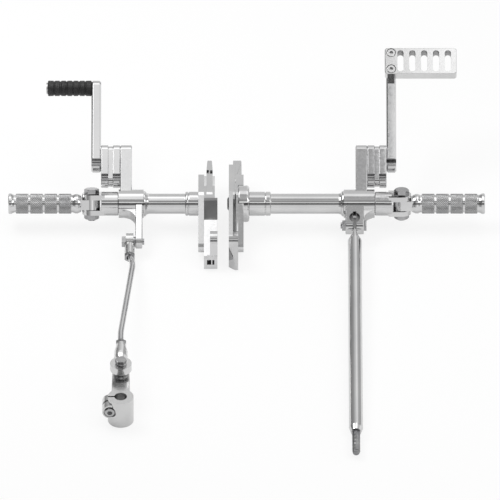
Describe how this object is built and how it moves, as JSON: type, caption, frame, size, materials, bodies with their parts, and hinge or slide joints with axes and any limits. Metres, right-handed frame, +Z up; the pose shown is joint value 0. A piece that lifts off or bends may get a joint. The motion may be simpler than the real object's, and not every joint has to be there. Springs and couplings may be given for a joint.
{
  "type": "pair of motorcycle footpegs",
  "caption": "Folding knurled footpegs on turned barrels with brackets, a shift lever with its link rod, and a slotted brake lever with its rod.",
  "frame": {"origin": "on the peg axis, at the inner face of the left bracket, midway between its two bolt holes", "axes": "+X to the rider's right along the peg axis, +Y along the surface towards the levers, +Z up from the surface that the set lies on"},
  "size_m": [0.6214, 0.7057, 0.1534],
  "materials": {
    "polished_alloy": "mirror polished",
    "satin_alloy": "satin",
    "knurled_alloy": "knurled",
    "bolt_steel": "plated",
    "rod_steel": "plated",
    "stud_steel": "threaded, dark",
    "bushing": "sintered",
    "rubber": "moulded, ribbed"
  },
  "bodies": {
    "carriers": {"left_bracket": "polished_alloy", "left_barrel": "polished_alloy", "left_axle_bolt": "bolt_steel", "left_peg_mount": "polished_alloy", "left_peg_bolt": "bolt_steel", "left_peg_nut": "bolt_steel", "right_bracket": "polished_alloy", "right_spacer_ring": "polished_alloy", "right_barrel": "polished_alloy", "right_axle_bolt": "bolt_steel", "right_peg_mount": "polished_alloy", "right_peg_bolt": "bolt_steel", "right_peg_nut": "bolt_steel"},
    "left_footpeg": {"left_peg": "knurled_alloy"},
    "right_footpeg": {"right_peg": "knurled_alloy"},
    "shift_lever": {"left_bushings": "bushing", "shift_hub": "polished_alloy", "shift_inner_link": "polished_alloy", "shift_outer_link": "polished_alloy", "shift_link_spacer": "polished_alloy", "shift_adjuster_pins": "bolt_steel", "shift_lever_arm": "polished_alloy", "toe_peg_stud": "bolt_steel", "toe_peg_sleeve": "rubber", "shift_eye_bolt": "bolt_steel", "shift_eye_spacer": "bolt_steel"},
    "shift_link": {"shift_rod_eye": "rod_steel", "shift_rod": "rod_steel", "shift_jam_nuts": "bolt_steel", "shift_ball_housing": "rod_steel"},
    "gearbox_lever": {"shift_ball": "bolt_steel", "shift_ball_spacer": "bolt_steel", "shift_ball_bolt": "bolt_steel", "shift_ball_nut": "bolt_steel", "shaft_clamp": "satin_alloy", "shaft_clamp_screw": "bolt_steel"},
    "brake_lever": {"right_bushings": "bushing", "brake_hub": "polished_alloy", "brake_inner_link": "polished_alloy", "brake_outer_link": "polished_alloy", "brake_link_spacer": "polished_alloy", "brake_adjuster_pins": "bolt_steel", "brake_lever_arm": "polished_alloy", "brake_pad": "satin_alloy", "brake_pad_screws": "bolt_steel", "brake_rod_bolt": "bolt_steel", "brake_rod_nut": "bolt_steel"},
    "brake_link": {"brake_rod": "polished_alloy", "brake_rod_stud": "stud_steel"}
  },
  "joints": [
    {"name": "left_peg_fold", "type": "hinge", "parent": "carriers", "child": "left_footpeg", "pos_m": [-0.1641, 0, 0], "axis": [0, -0.4226, -0.9063], "range_deg": [0, 90]},
    {"name": "right_peg_fold", "type": "hinge", "parent": "carriers", "child": "right_footpeg", "pos_m": [0.2401, 0, 0], "axis": [0, 0.2588, 0.9659], "range_deg": [0, 90]},
    {"name": "shift_lever_pivot", "type": "hinge", "parent": "carriers", "child": "shift_lever", "pos_m": [-0.113, 0, 0], "axis": [1, 0, 0], "range_deg": [-15, 15]},
    {"name": "brake_lever_pivot", "type": "hinge", "parent": "carriers", "child": "brake_lever", "pos_m": [0.186, 0, 0], "axis": [1, 0, 0], "range_deg": [-15, 15]},
    {"name": "shift_link_swing", "type": "hinge", "parent": "shift_lever", "child": "shift_link", "pos_m": [-0.1142, -0.06085, -0.01631], "axis": [1, 0, 0], "range_deg": [-60, 60]},
    {"name": "gearbox_lever_turn", "type": "hinge", "parent": "shift_link", "child": "gearbox_lever", "pos_m": [-0.124, -0.369, 0.015], "axis": [0, 0, 1], "continuous": true},
    {"name": "brake_link_swing", "type": "hinge", "parent": "brake_lever", "child": "brake_link", "pos_m": [0.1788, -0.03195, -0.01163], "axis": [1, 0, 0], "range_deg": [-45, 45]}
  ]
}
